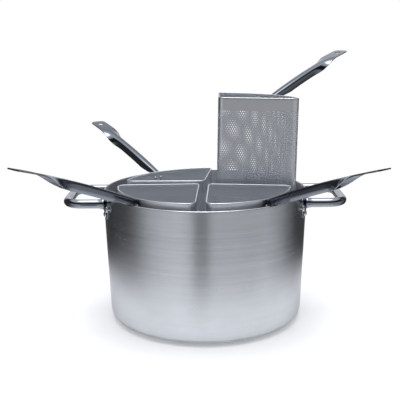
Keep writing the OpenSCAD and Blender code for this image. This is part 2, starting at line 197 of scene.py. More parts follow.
class Places(bpy.types.PropertyGroup):
    """Where the baskets stand and hang"""

    front_turn: angle("Front turn", "Turn of the front baskets about the pot's axis", -2.2)
    rear_turn: angle("Rear turn", "Turn of the rear left basket about the pot's axis", -5.8)
    hang_turn: angle("Hanging turn", "Turn of the hanging basket about the pot's axis", -1.0)
    lean: angle("Lean", "Outward lean of a standing basket", 1.4)
    hang_lean: angle("Hanging lean", "Outward lean of the hanging basket", 1.6)
    hang_clear: length("Hanging clearance", "Between the rim and the hook's seat", 0.00035)
    floor_clear: length("Floor clearance", "Under a standing basket", 0.0003)
    front_left: shift("Front left", "Shift of the front left basket", (-0.003, -0.0125))
    front_right: shift("Front right", "Shift of the front right basket", (0.0005, -0.013))
    back_left: shift("Back left", "Shift of the rear left basket", (0.005, -0.001))


class Finishes(bpy.types.PropertyGroup):
    """Colours of the metals"""

    pot: colour("Pot", "Brushed aluminium of the pot", (0.65, 0.675, 0.705))
    basket: colour("Basket", "Satin steel of the baskets", (0.84, 0.86, 0.90))
    # Painted shade: the handles' and drain hooks' steel is set far darker than the baskets' steel,
    # standing in for the dark room they mirror
    grip: colour("Handles", "Satin steel of the basket handles", (0.23, 0.25, 0.29))
    # Painted shade: the tube steel is set darker than polished steel, holding down the pale table
    # that it mirrors
    tube: colour("Pot handles", "Polished steel of the pot's handles", (0.31, 0.33, 0.37))
    # Painted shade: the lug steel is set very dark, so that the lugs show dark and their edges
    # mirror little of the pale table
    lug: colour("Lugs", "Dark polished steel of the lugs", (0.17, 0.18, 0.20))
    rivet: colour("Rivets", "Steel of the rivets", (0.70, 0.72, 0.76))
    ground: colour("Ground", "Pale ground", (0.88, 0.88, 0.89))


class Studio(bpy.types.PropertyGroup):
    """The camera"""

    distance: length("Distance", "From the camera to the pot's axis", 1.3)
    eye: length("Eye height", "Height of the camera", 0.506)
    pitch: angle("Pitch", "How far the camera looks down", 12.93)
    yaw: angle("Yaw", "Turn of the camera to the right", -0.39)
    roll: angle("Roll", "Roll of the picture", -0.47)
    lens: FloatProperty(name="Lens", description="Focal length on a 36 mm sensor", default=67.05)


GROUPS = {
    "pot_sizes": PotSizes,
    "basket_sizes": BasketSizes,
    "grip_sizes": GripSizes,
    "places": Places,
    "finishes": Finishes,
    "studio": Studio,
}


# Shader maths


class Value:
    """A number on a node's socket; + - * / and ** add Math nodes to its finish."""

    def __init__(self, finish, socket):
        self.finish, self.socket = finish, socket

    def _math(self, operation, *terms):
        return self.finish.node("ShaderNodeMath", {"operation": operation}, dict(enumerate(terms)))

    def __add__(self, other):
        return self._math("ADD", self, other)

    def __sub__(self, other):
        return self._math("SUBTRACT", self, other)

    def __rsub__(self, other):
        return self._math("SUBTRACT", other, self)

    def __mul__(self, other):
        return self._math("MULTIPLY", self, other)

    def __truediv__(self, other):
        return self._math("DIVIDE", self, other)

    def __pow__(self, other):
        return self._math("POWER", self, other)

    def clamped(self):
        """The value held between 0 and 1."""
        return self._math("MAXIMUM", self._math("MINIMUM", self, 1.0), 0.0)

    __radd__ = __add__
    __rmul__ = __mul__


class Finish:
    """A material, or the world, that is built from nodes."""

    def __init__(self, tree):
        self.tree = tree
        tree.nodes.clear()

    def node(self, kind, settings=None, inputs=None, output=0):
        """Adds a node: its settings come first, then the values or links of its sockets."""
        made = self.tree.nodes.new(kind)
        for name, setting in (settings or {}).items():
            if name == "stops":
                for stop, (place, tint) in zip(self._stops(made, len(setting)), setting):
                    stop.position, stop.color = place, (*tint, 1.0)
            else:
                setattr(made, name, setting)
        for name, given in (inputs or {}).items():
            if isinstance(given, Value):
                self.tree.links.new(given.socket, made.inputs[name])
            else:
                made.inputs[name].default_value = given
        return Value(self, made.outputs[output]) if made.outputs else None

    @staticmethod
    def _stops(ramp, count):
        stops = ramp.color_ramp.elements
        while len(stops) < count:
            stops.new(0.5)
        return stops

    def place(self, kind="Object"):
        """The place on the surface, in the piece's own coordinates of this kind."""
        return self.node("ShaderNodeTexCoord", None, None, kind)

    def ease(self, value, low, high):
        """0 at low, 1 at high and an even curve between."""
        return self.node(
            "ShaderNodeMapRange", {"interpolation_type": "SMOOTHSTEP"},
            {0: value, 1: low, 2: high},
        )

    def split(self, vector):
        """The three parts of a vector."""
        first = self.node("ShaderNodeSeparateXYZ", None, {0: vector})
        parts = first.socket.node.outputs
        return [Value(self, parts[i]) for i in range(3)]

    def join(self, x, y, z):
        """A vector of three values."""
        return self.node("ShaderNodeCombineXYZ", None, {0: x, 1: y, 2: z})

    def noise(self, vector, scale, detail=2.0, rough=0.5):
        """Noise between 0 and 1."""
        return self.node(
            "ShaderNodeTexNoise",
            None,
            {"Vector": vector, "Scale": scale, "Detail": detail, "Roughness": rough},
        )

    def tint(self, share, low, high):
        """A colour between low and high."""
        return self.node(
            "ShaderNodeMix",
            {"data_type": "RGBA"},
            {0: share, 6: (*low, 1.0), 7: (*high, 1.0)},
            output=2,
        )


def scaled(rgb, k):
    """A colour made lighter or darker."""
    return tuple(min(1.0, c * k) for c in rgb)


def metal(
    name, rgb, roughness, grain, spread, anisotropic=0.0, relief=0.00002, mottle=0.06,
    matt=None, edge=1.0,
):
    """A metal whose grain lines change its colour, roughness and height.

    grain(finish) gives the grain, a value near 0.5, from the piece's own coordinates, and
    matt(finish) a roughness that is added in some places. edge is how much the metal
    still reflects where it turns away from the eye.
    """
    material = bpy.data.materials.new(name)
    material.use_nodes = True
    f = Finish(material.node_tree)
    lines = grain(f)
    position = f.place()
    cloud = f.noise(position, 26.0, 3.0)
    smudge = f.noise(position, 90.0, 2.0)
    share = (lines * 0.7 + cloud * 0.3).clamped()
    colour_link = f.tint(share, scaled(rgb, 1.0 - mottle), scaled(rgb, 1.0 + mottle))
    rough = (lines - 0.5) * spread + (smudge - 0.5) * (spread * 0.4) + roughness
    if matt:
        rough = rough + matt(f)
    bump = f.node("ShaderNodeBump", None, {"Strength": 1.0, "Distance": relief, "Height": lines})
    shader = f.node(
        "ShaderNodeBsdfPrincipled",
        None,
        {
            "Base Color": colour_link,
            "Metallic": 1.0,
            "Roughness": rough.clamped(),
            "Anisotropic": anisotropic,
            "Anisotropic Rotation": 0.25,
            "Specular Tint": (edge, edge, edge, 1.0),
            "Normal": bump,
        },
    )
    f.node("ShaderNodeOutputMaterial", None, {"Surface": shader})
    return material


def rings(f):
    """Brush lines round the pot's axis: noise that changes fast with height and radius."""
    x, y, z = f.split(f.place())
    out = (x * x + y * y) ** 0.5
    place = f.join(x * 9.0, y * 9.0, (z + out) * 800.0)
    wide = f.join(x * 4.0, y * 4.0, (z + out) * 260.0)
    return f.noise(place, 1.0, 3.0, 0.7) * 0.5 + f.noise(wide, 1.0, 2.0) * 0.5


def inside_of(pot):
    """More roughness on the faces inside the pot: the distance from its axis compared with
    the middle of its wall."""

    def matt(f):
        x, y, z = f.split(f.place())
        out = (x * x + y * y) ** 0.5
        slope = (pot.rim_radius - pot.foot_radius) / pot.height
        middle = z * slope + (pot.foot_radius - pot.wall / 2.0)
        return ((middle - out) * 2000.0).clamped() * 0.32

    return matt


def rolled(f):
    """Fine upright grain of rolled sheet."""
    x, y, z = f.split(f.place())
    return f.noise(f.join(x * 900.0, y * 900.0, z * 30.0), 1.0, 2.0, 0.6)


def lengthwise(f):
    """Grain along the piece, from its own UV map: u runs along it and v across."""
    u, v, _ = f.split(f.place("UV"))
    return f.noise(f.join(u * 20.0, v * 1500.0, 0.0), 1.0, 3.0, 0.6)


def polished(f):
    """Faint wandering unevenness of polished metal."""
    return f.noise(f.place(), 60.0, 2.0, 0.5)


def make_finishes(scene):
    """All metals by name, made once."""
    tint = scene.finishes
    wanted = {
        "pot_brushed": {
            "rgb": tint.pot, "roughness": 0.25, "grain": rings, "anisotropic": 0.80,
            "spread": 0.12, "mottle": 0.24, "matt": inside_of(scene.pot_sizes), "edge": 0.70,
        },
        "basket_satin": {
            "rgb": tint.basket, "roughness": 0.30, "grain": rolled, "spread": 0.12,
        },
        # Inside faces of the basket walls, and the whole bases: the basket steel painted 7 %
        # lighter, which is painted light on the baskets' insides, and made rougher
        "basket_inside_painted_light": {
            "rgb": scaled(tint.basket, 1.07), "roughness": 0.62, "grain": rolled, "spread": 0.12,
        },
        # Handles and drain hooks: steel darkened into painted shade
        "grip_satin_painted_shade": {
            "rgb": tint.grip, "roughness": 0.14, "grain": lengthwise, "spread": 0.08,
        },
        # Pot handle tubes: polished steel darkened into painted shade
        "tube_polished_painted_shade": {
            "rgb": tint.tube, "roughness": 0.07, "grain": polished, "spread": 0.04,
            "relief": 0.00001,
        },
        # Lugs: polished steel darkened into painted shade
        "lug_polished_painted_shade": {
            "rgb": tint.lug, "roughness": 0.10, "grain": polished, "spread": 0.05,
            "relief": 0.00001,
        },
        "rivet_steel": {
            "rgb": tint.rivet, "roughness": 0.16, "grain": polished, "spread": 0.08,
        },
    }
    return {
        name: bpy.data.materials.get(name) or metal(name, **values)
        for name, values in wanted.items()
    }


# Meshes


def add_piece(
    scene, name, points, faces, finish, body, nodes, sharp=None, uv=None, inner_finish=None
):
    """Puts a mesh in the scene as a piece of the object.

    faces is a list of whole arrays, each with faces of one corner count. sharp is a
    list of the same length: whether that array's faces are flat-shaded. Where a piece
    has both kinds, the edges of the flat ones are marked sharp, so that the smooth
    faces beside them keep normals of their own. uv is a place on the grain's map for
    each point. The inside finish, if one is given, goes on a sheet's inside, which the
    second half of its arrays before the last makes up; the baskets' inside finish is
    their steel painted lighter, which is painted light.
    """
    mesh = bpy.data.meshes.new(name)
    points = np.asarray(points, dtype=np.float32)
    faces = [np.asarray(f, dtype=np.int32) for f in faces if len(f)]
    corners = np.concatenate([f.ravel() for f in faces])
    counts = np.concatenate([np.full(len(f), f.shape[1]) for f in faces])
    mesh.vertices.add(len(points))
    mesh.vertices.foreach_set("co", points.ravel())
    mesh.loops.add(len(corners))
    mesh.loops.foreach_set("vertex_index", corners)
    mesh.polygons.add(len(counts))
    starts = np.concatenate([[0], np.cumsum(counts)[:-1]])
    mesh.polygons.foreach_set("loop_start", starts.astype(np.int32))
    flags = [False] * len(faces) if sharp is None else sharp
    flat = np.concatenate([np.full(len(f), bool(s)) for f, s in zip(faces, flags)])
    mesh.polygons.foreach_set("use_smooth", ~flat)
    if uv is not None:
        layer = mesh.uv_layers.new(name="along")
        layer.uv.foreach_set("vector", np.asarray(uv, dtype=np.float32)[corners].ravel())
    mesh.update(calc_edges=True)
    if flat.any() and not flat.all():
        edge_of = np.empty(len(corners), dtype=np.int32)
        mesh.loops.foreach_get("edge_index", edge_of)
        creased = np.zeros(len(mesh.edges), dtype=bool)
        creased[edge_of[np.repeat(flat, counts)]] = True
        mesh.edges.foreach_set("use_edge_sharp", creased)
    mesh.validate()
    mesh.materials.append(make_finishes(scene)[finish])
    if inner_finish:
        mesh.materials.append(make_finishes(scene)[inner_finish])
        half = len(faces) // 2
        inside = [half <= i < 2 * half for i in range(len(faces))]
        index = np.concatenate([np.full(len(f), own) for f, own in zip(faces, inside)])
        mesh.polygons.foreach_set("material_index", index.astype(np.int32))
    piece = bpy.data.objects.new(name, mesh)
    scene.collection.objects.link(piece)
    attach(piece, body)
    if nodes:
        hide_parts(*nodes)
    return piece


def bevelled(piece, width, segments=2, limit=40.0):
    """Rounds the sharp edges of a piece."""
    bevel = piece.modifiers.new("edges", "BEVEL")
    bevel.width, bevel.segments = width, segments
    bevel.limit_method, bevel.angle_limit = "ANGLE", math.radians(limit)
    bevel.harden_normals = True
    return piece


def turned(axis, degrees):
    """A turn about one axis as a 4 x 4 array."""
    return np.array(Matrix.Rotation(math.radians(degrees), 4, axis))


def moved(x, y, z):
    """A shift as a 4 x 4 array."""
    return np.array(Matrix.Translation((x, y, z)))


def carried(place, points):
    """Points carried by a 4 x 4 array."""
    points = np.asarray(points, dtype=float)
    return points @ place[:3, :3].T + place[:3, 3]


def open_edges(faces, n):
    """Edges that only one of the faces on n points has, as pairs of point numbers."""
    edges = np.concatenate(
        [np.stack([f, np.roll(f, -1, axis=1)], axis=2).reshape(-1, 2) for f in faces]
    ).astype(np.int64)
    ahead, behind = edges[:, 0] * n + edges[:, 1], edges[:, 1] * n + edges[:, 0]
    return edges[~np.isin(ahead, behind)]


def ring_quads(outer, inner):
    """Quads between two closed rings of as many point numbers."""
    return np.stack([outer, np.roll(outer, -1), np.roll(inner, -1), inner], axis=1)


def sheet_solid(faces, outside, inside):
    """A closed sheet: faces on the outside, the same reversed on the inside, and a wall
    between them along each open edge. Gives points, face arrays and which arrays are
    flat-shaded."""
    n = len(outside)
    a, b = open_edges(faces, n).T
    walls = np.stack([b, a, a + n, b + n], axis=1)
    solid = list(faces) + [f[:, ::-1] + n for f in faces] + [walls]
    flags = [False] * (2 * len(faces)) + [True]
    return np.concatenate([outside, inside]), solid, flags


def used_only(faces, *arrays):
    """Drops the points that no face uses, from each array of points alike."""
    used, back = np.unique(np.concatenate([f.ravel() for f in faces]), return_inverse=True)
    fresh, start = [], 0
    for f in faces:
        fresh.append(back[start : start + f.size].reshape(f.shape))
        start += f.size
    return fresh, [a[used] for a in arrays]


def grid_faces(columns, rows, closed=False):
    """Quads of a grid of columns x rows points, stored column by column. With closed,
    the last column joins the first."""
    i = np.arange(columns if closed else columns - 1)[:, None]
    j = np.arange(rows - 1)[None, :]
    a = i * rows + j
    b = ((i + 1) % columns) * rows + j
    return np.stack([a, b, b + 1, a + 1], axis=-1).reshape(-1, 4)


def round_points(r, a, z):
    """Points at radius r, angle a and height z, which are arrays or single numbers."""
    r, a, z = np.broadcast_arrays(r, a, z)
    return np.stack([r * np.cos(a), r * np.sin(a), z], axis=-1).reshape(-1, 3)


def lathe(profile, steps):
    """A profile of (radius, height) points turned about Z. Points on the axis become one
    pole each. Gives points and face arrays."""
    profile = np.asarray(profile, dtype=float)
    a = np.linspace(0.0, 2.0 * np.pi, steps, endpoint=False)
    points = round_points(profile[:, 0], a[:, None], profile[:, 1])
    return weld(points, [grid_faces(steps, len(profile), closed=True)])


def weld(points, faces, near=1e-7):
    """Merges points that lie on each other. Quads that lose a corner become triangles."""
    _, first, back = np.unique(
        np.round(points / near).astype(np.int64), axis=0, return_index=True, return_inverse=True
    )
    back = back.ravel()
    quads, triangles = [], []
    for f in faces:
        g = back[f]
        if g.shape[1] == 3:
            triangles.append(g)
            continue
        same = g == np.roll(g, -1, axis=1)
        lost = same.sum(axis=1)
        quads.append(g[lost == 0])
        short, mark = g[lost == 1], same[lost == 1]
        if len(short):
            triangles.append(short[~mark].reshape(-1, 3))
    found = [np.concatenate(x) for x in (quads, triangles) if x]
    return points[first], [f for f in found if len(f)]


def arc_points(cx, cy, r, start, end, steps):
    """Points of a circular arc."""
    a = np.radians(np.linspace(start, end, steps + 1))
    return np.stack([cx + r * np.cos(a), cy + r * np.sin(a)], axis=1)


def smooth(t):
    """0 below 0, 1 above 1, and an even curve between."""
    c = np.clip(t, 0.0, 1.0)
    return c * c * (3.0 - 2.0 * c)


# Pot


def taper(pot):
    """Slope of the pot's wall from the upright, in radians."""
    return math.atan((pot.rim_radius - pot.foot_radius) / pot.height)


def pot_face(pot, z):
    """Radius of the pot's outer face at height z."""
    return pot.foot_radius + z * math.tan(taper(pot))


def pot_profile(pot):
    """The shell's section from the middle of the underside, up the outside, over the
    rounded rim and down the inside to the middle of the floor."""
    slope = taper(pot)
    lean = math.degrees(slope)
    t = pot.wall
    outer = pot_face(pot, pot.corner) - pot.corner / math.cos(slope)
    inner_z = pot.floor + pot.inner_corner
    inner = pot_face(pot, inner_z) - (t + pot.inner_corner) / math.cos(slope)
    lip = t / 2.0 * 0.8
    top = pot.height - lip
    edge = pot_face(pot, top)
    heights = np.linspace(pot.corner * 1.05, top - 0.004, 24)
    outside = np.stack([pot_face(pot, heights), heights], axis=1)
    inside = outside[::-1] - [t / math.cos(slope), 0.0]
    inside = inside[inside[:, 1] > inner_z + 0.002]
    return np.concatenate(
        [
            [[0.0, 0.0], [outer * 0.5, 0.0], [outer * 0.97, 0.0]],
            arc_points(outer, pot.corner, pot.corner, -90.0, -lean, 14),
            outside,
            arc_points(edge - lip, top, lip, -lean, 90.0, 6),
            arc_points(edge - t + lip, top, lip, 90.0, 180.0 - lean, 6),
            inside,
            arc_points(inner, inner_z, pot.inner_corner, -lean, -90.0, 10),
            [[inner * 0.97, pot.floor], [inner * 0.5, pot.floor], [0.0, pot.floor]],
        ]
    )


class POT_OT_shell(bpy.types.Operator):
    """Makes the pot's brushed shell"""

    bl_idname = "pasta_pot.shell"
    bl_label = "Pot Shell"

    def execute(self, context):
        points, faces = lathe(pot_profile(context.scene.pot_sizes), SHELL_STEPS)
        add_piece(
            context.scene, "pot_shell", points, faces, "pot_brushed", "pot",
            ["pot_wall", "pot_floor"],
        )
        return {"FINISHED"}


def loop_path(pot, steps):
    """Middle line of a handle tube about +X at its own height, from one lug to the other:
    a leg, a bend, the outer bar, a bend and a leg. Gives places (x, y)."""
    reach = pot.rim_radius + pot.reach
    half, bend = pot.span / 2.0, pot.bend
    z = pot.height - pot.drop
    face = pot_face(pot, z) + pot.lug_thickness
    root = math.sqrt(face * face - half * half) - 0.0005
    leg = np.linspace(0.0, 1.0, 13)[:-1, None]
    straight = np.array([[root, -half]]) * (1.0 - leg) + np.array([[reach - bend, -half]]) * leg
    bar = np.linspace(-half + bend, half - bend, 9)[1:-1]
    return np.concatenate(
        [
            straight,
            arc_points(reach - bend, -half + bend, bend, -90.0, 0.0, steps),
            np.stack([np.full(len(bar), reach), bar], axis=1),
            arc_points(reach - bend, half - bend, bend, 0.0, 90.0, steps),
            straight[::-1] * [1.0, -1.0],
        ]
    )


def swept_tube(path, radii, around):
    """A tube along a flat path (x, y) at height 0, with a radius at each place. Each ring
    is a circle across the path: place + r cos(a) side + r sin(a) up. Ends are closed by a
    point each."""
    along = np.gradient(path, axis=0)
    along /= np.linalg.norm(along, axis=1)[:, None]
    side = np.stack([along[:, 1], -along[:, 0]], axis=1)
    a = np.linspace(0.0, 2.0 * np.pi, around, endpoint=False)
    shifted = side[:, None, :] * (radii[:, None] * np.cos(a))[..., None]
    up = np.broadcast_to(radii[:, None] * np.sin(a), shifted.shape[:2])
    rows = np.concatenate([path[:, None, :] + shifted, up[..., None]], axis=2)
    ends = [np.broadcast_to([*path[k], 0.0], (1, around, 3)) for k in (0, -1)]
    rows = np.concatenate([ends[0], rows, ends[1]])
    points = rows.transpose(1, 0, 2).reshape(-1, 3)
    faces = grid_faces(around, len(rows), closed=True)
    return weld(points, [faces[:, ::-1]])


class POT_OT_handles(bpy.types.Operator):
    """Makes the two polished tube handles, flared where they meet their lugs"""

    bl_idname = "pasta_pot.handles"
    bl_label = "Pot Handles"

    def execute(self, context):
        pot = context.scene.pot_sizes
        path = loop_path(pot, 16)
        steps = np.linalg.norm(np.diff(path, axis=0), axis=1)
        run = np.concatenate([[0.0], np.cumsum(steps)])
        near_end = np.minimum(run, run[-1] - run)
        radii = pot.tube / 2.0 * (1.0 + FLARE * (1.0 - smooth(near_end / FLARE_RUN)))
        points, faces = swept_tube(path, radii, 40)
        for side, turn in SIDES.items():
            place = turned("Z", turn) @ moved(0.0, 0.0, pot.height - pot.drop)
            add_piece(
                context.scene, f"pot_handle_tube_{side}", carried(place, points), faces,
                "tube_polished_painted_shade", "pot", [f"pot_handle_{side}"],
            )
        return {"FINISHED"}


def rounded_outline(corners, steps):
    """Outline through corners (x, y, radius), each rounded by an arc that touches both its
    sides."""
    corners = np.asarray(corners, dtype=float)
    parts = []
    neighbours = np.roll(corners, 1, axis=0), np.roll(corners, -1, axis=0)
    for here, before, after in zip(corners, *neighbours):
        u, v = before[:2] - here[:2], after[:2] - here[:2]
        u, v = u / np.linalg.norm(u), v / np.linalg.norm(v)
        half = math.acos(np.clip(u @ v, -1.0, 1.0)) / 2.0
        mid = here[:2] + (u + v) / np.linalg.norm(u + v) * here[2] / math.sin(half)
        start = here[:2] + u * here[2] / math.tan(half) - mid
        end = here[:2] + v * here[2] / math.tan(half) - mid
        a0 = math.degrees(math.atan2(start[1], start[0]))
        sweep = (math.degrees(math.atan2(end[1], end[0])) - a0 + 180.0) % 360.0 - 180.0
        parts.append(arc_points(mid[0], mid[1], here[2], a0, a0 + sweep, steps))
    return np.concatenate(parts)


def lug_angle(pot):
    """Angle on the pot of a lug's mid line, in degrees."""
    return math.degrees(math.asin(pot.span / 2.0 / pot.rim_radius))


def lug_surface(pot):
    """A lug about angle 0: rings of its outline drawn in to its middle, from the pot's face
    up over a rounded edge to a crowned front. Each point is at an angle of its sideways
    distance over the pot's radius. Gives points and faces."""
    w, foot, h = pot.lug_width / 2.0, pot.lug_foot / 2.0, pot.lug_height
    corners = [(x, y, 0.006) for x, y in ((-w, 0.0), (-foot, -h), (foot, -h), (w, 0.0))]
    outline = refined(rounded_outline(corners, 8), 0.0025)
    middle = np.array([0.0, -h * 0.42])
    t = pot.lug_thickness
    drawn = np.array([0.0, 0.999, 1.0, 0.985, 0.95, 0.88, 0.7, 0.45, 0.2, 0.0])
    raised = np.array([0.0, 0.0, 0.45, 0.8, 0.95, 1.04, 1.1, 1.12, 1.13, 1.13]) * t
    flat = middle + drawn[:, None, None] * (outline - middle)
    z = pot.height - pot.lug_drop + flat[..., 1]
    r = pot_face(pot, z) + raised[:, None]
    a = flat[..., 0] / pot.rim_radius
    return weld(round_points(r.T, a.T, z.T), [grid_faces(len(outline), len(drawn), closed=True)])


def refined(outline, step):
    """A closed outline with points added so that none of its sides is longer than step."""
    after = np.roll(outline, -1, axis=0)
    parts = []
    for a, b in zip(outline, after):
        n = max(1, int(np.ceil(np.linalg.norm(b - a) / step)))
        parts.append(a + (b - a) * (np.arange(n) / n)[:, None])
    return np.concatenate(parts)


def lug_turns(pot, turn):
    """Turns that carry a lug about angle 0 to both legs of a handle."""
    return [turned("Z", turn + leg * lug_angle(pot)) for leg in (-1, 1)]


class POT_OT_lugs(bpy.types.Operator):
    """Makes the four shield-shaped lugs"""

    bl_idname = "pasta_pot.lugs"
    bl_label = "Lugs"

    def execute(self, context):
        pot = context.scene.pot_sizes
        points, faces = lug_surface(pot)
        for side, turn in SIDES.items():
            for end, place in zip(("front", "rear"), lug_turns(pot, turn)):
                add_piece(
                    context.scene, f"pot_lug_{side}_{end}", carried(place, points), faces,
                    "lug_polished_painted_shade", "pot", [f"pot_handle_lugs_{side}"],
                )
        return {"FINISHED"}


def rivet_profile(shank, head, rise, depth, tail):
    """Section of a rivet along Z: a domed head above 0, a shank, and a flatter head below
    -depth. A dome is a part of a circle of radius (r r + h h) / 2h."""
    top = (head * head / 4.0 + rise * rise) / (2.0 * rise)
    low = (head * head / 4.0 + tail * tail) / (2.0 * tail)
    a = math.degrees(math.asin(head / 2.0 / top))
    b = math.degrees(math.asin(head / 2.0 / low))
    return np.concatenate(
        [
            arc_points(0.0, low - depth - tail, low, -90.0, b - 90.0, 8),
            [[shank / 2.0, -depth], [shank / 2.0, 0.0]],
            arc_points(0.0, rise - top, top, 90.0 - a, 90.0, 8),
        ]
    )


class POT_OT_rivets(bpy.types.Operator):
    """Makes the three domed rivets of each lug"""

    bl_idname = "pasta_pot.rivets"
    bl_label = "Pot Rivets"

    def execute(self, context):
        pot = context.scene.pot_sizes
        t = pot.lug_thickness + POT_SEAT
        rise = pot.rivet_rise
        profile = rivet_profile(POT_SHANK, pot.rivet_head, rise, t + pot.wall, rise / 2.0)
        one, faces = lathe(profile, 28)
        lean = math.degrees(taper(pot))
        for side, turn in SIDES.items():
            points, solids, start = [], [], 0
            for place in lug_turns(pot, turn):
                for across, down in LUG_RIVETS:
                    z = pot.height - pot.lug_drop - down
                    r = pot_face(pot, z)
                    spot = place @ turned("Z", math.degrees(math.asin(across / r)))
                    spot = spot @ moved(r, 0.0, z) @ turned("Y", 90.0 + lean) @ moved(0.0, 0.0, t)
                    points.append(carried(spot, one))
                    solids.append([f + start for f in faces])
                    start += len(one)
            joined = [np.concatenate([s[k] for s in solids]) for k in range(len(faces))]
            add_piece(
                context.scene, f"pot_rivet_heads_{side}", np.concatenate(points), joined,
                "rivet_steel", "pot", [f"pot_rivets_{side}"],
            )
        return {"FINISHED"}


# Baskets


def outline_sizes(basket):
    """Half the gap between baskets, the radius, the radii of the axis corner and of the end
    corners, and how far along its straight wall an end corner's middle lies."""
    g, r, re = basket.gap / 2.0, basket.radius, basket.end_corner
    return g, r, basket.corner, re, math.sqrt((r - re) ** 2 - (g + re) ** 2)


def outline_parts(basket):
    """The basket's outline in plan, counter-clockwise from the axis corner, as parts: an
    arc (cx, cy, radius, start, end) or a line (x0, y0, x1, y1)."""
    g, r, rc, re, far = outline_sizes(basket)
    a = math.degrees(math.atan2(g + re, far))
    return [
        (g + rc, g + rc, rc, 180.0, 270.0),
        (g + rc, g, far, g),
        (far, g + re, re, -90.0, a),
        (0.0, 0.0, r, a, 90.0 - a),
        (g + re, far, re, 90.0 - a, 180.0),
        (g, far, g, g + rc),
    ]


def part_length(part):
    """Length of one part of the outline."""
    if len(part) == 5:
        return part[2] * math.radians(part[4] - part[3])
    return math.hypot(part[2] - part[0], part[3] - part[1])


def outline_at(basket, u):
    """Place and outward normal at length u round the outline."""
    parts = outline_parts(basket)
    ends = np.cumsum([part_length(p) for p in parts])
    u = np.mod(u, ends[-1])
    spot, normal = np.zeros(u.shape + (2,)), np.zeros(u.shape + (2,))
    which = np.searchsorted(ends, u, side="right")
    for k, part in enumerate(parts):
        here = which == k
        share = (u[here] - (ends[k] - part_length(part))) / part_length(part)
        if len(part) == 5:
            a = np.radians(part[3] + (part[4] - part[3]) * share)
            out = np.stack([np.cos(a), np.sin(a)], axis=1)
            spot[here] = np.array(part[:2]) + part[2] * out
        else:
            line = np.array(part[2:]) - np.array(part[:2])
            spot[here] = np.array(part[:2]) + line * share[:, None]
            out = np.broadcast_to([line[1], -line[0]] / np.hypot(*line), spot[here].shape)
        normal[here] = out
    return spot, normal


def outline_length(basket):
    """Length round the basket's outline."""
    return sum(part_length(p) for p in outline_parts(basket))


def hole_ring(basket):
    """Corners of a hole about its middle."""
    a = np.radians(np.arange(HOLE_SIDES) * 360.0 / HOLE_SIDES)
    return basket.hole / 2.0 * np.stack([np.cos(a), np.sin(a)], axis=1)


def brick_faces(columns, rows, closed):
    """Faces of a sheet with one round hole in each cell of a staggered brick pattern.

    Cells are 2 grid steps wide and 2 high, and each odd row is set over by one step. A
    cell's 8 border points are grid points; its hole's 8 points are joined to them by
    quads. Grid point (i, j) has number i * (2 rows + 1) + j, and the hole points come
    after all grid points. Gives the faces, the cells' middles in grid steps, each
    face's cell column, and how many grid points there are across and up.
    """
    c, m = np.meshgrid(np.arange(columns), np.arange(rows), indexing="ij")
    c, m = c.ravel(), m.ravel()
    i0 = 2 * c + m % 2
    wide = 2 * columns if closed else 2 * columns + 2
    tall = 2 * rows + 1
    across = np.array([2, 2, 1, 0, 0, 0, 1, 2])
    up = np.array([1, 2, 2, 2, 1, 0, 0, 0])
    border = ((i0[:, None] + across) % wide) * tall + 2 * m[:, None] + up
    hole = wide * tall + np.arange(len(c))[:, None] * HOLE_SIDES + np.arange(HOLE_SIDES)
    quads = np.stack(
        [border, np.roll(border, -1, axis=1), np.roll(hole, -1, axis=1), hole], axis=-1
    ).reshape(-1, 4)
    middles = np.stack([i0 + 1.0, 2.0 * m + 1.0], axis=1)
    return quads, middles, np.repeat(c, HOLE_SIDES), wide, tall


def wall_levels(basket, top):
    """Levels of the plain bands under and over the holes, with the hem folded in at the
    rim: (height, outer inset, inner inset)."""
    t, h, hem = basket.sheet, basket.height, basket.hem
    low = [(0.0, 0.3 * t, 0.8 * t), (0.0004, 0.0, t), (0.5 * basket.band_low, 0.0, t)]
    high = [
        (0.5 * (top + h - hem), 0.0, t),
        (h - hem - 0.0005, 0.0, t),
        (h - hem, 0.0, 1.1 * t),
        (h - hem + 0.0002, 0.0, 1.85 * t),
        (h - hem + 0.0008, 0.0, 2.0 * t),
        (h - 0.0010, 0.0, 2.0 * t),
        (h - 0.0005, 0.10 * t, 1.9 * t),
        (h - 0.0001, 0.45 * t, 1.55 * t),
        (h, 0.8 * t, 1.2 * t),
    ]
    return low, high


def perforated_wall(basket):
    """The whole wall in (u, z): holes between two plain bands. Gives the faces, each
    face's cell column, and for each point u, the height and the two insets."""
    around = outline_length(basket)
    columns = int(round(around / basket.pitch))
    step = around / columns / 2.0
    room = basket.height - basket.band_top - basket.band_low
    rows = int(room / (basket.pitch * math.sqrt(3.0) / 2.0))
    rise = room / rows / 2.0
    quads, middles, cell, wide, tall = brick_faces(columns, rows, closed=True)
    grid_i, grid_j = np.meshgrid(np.arange(wide), np.arange(tall), indexing="ij")
    ring = hole_ring(basket)
    u = [grid_i.ravel() * step, (middles[:, :1] * step + ring[:, 0]).ravel()]
    z = [
        basket.band_low + grid_j.ravel() * rise,
        (basket.band_low + middles[:, 1:] * rise + ring[:, 1]).ravel(),
    ]
    low, high = wall_levels(basket, basket.height - basket.band_top)
    t = basket.sheet
    outer = [np.zeros(len(x)) for x in u]
    inner = [np.full(len(x), t) for x in u]
    count = sum(len(x) for x in u)
    i = np.arange(wide)
    faces, cells = [quads], [cell]
    for levels, edge, order in ((low, i * tall, 1), (high, i * tall + tall - 1, -1)):
        lines = []
        for height, out_inset, in_inset in levels:
            lines.append(count + i)
            u.append(i * step)
            z.append(np.full(wide, height))
            outer.append(np.full(wide, out_inset))
            inner.append(np.full(wide, in_inset))
            count += wide
        lines = lines + [edge] if order == 1 else [edge] + lines
        for below, above in zip(lines[:-1], lines[1:]):
            faces.append(ring_quads(below, above))
            cells.append(i // 2)
    columns_of = np.concatenate(cells)
    return (
        np.concatenate(faces), columns_of, columns,
        np.concatenate(u), np.concatenate(z), np.concatenate(outer), np.concatenate(inner),
    )


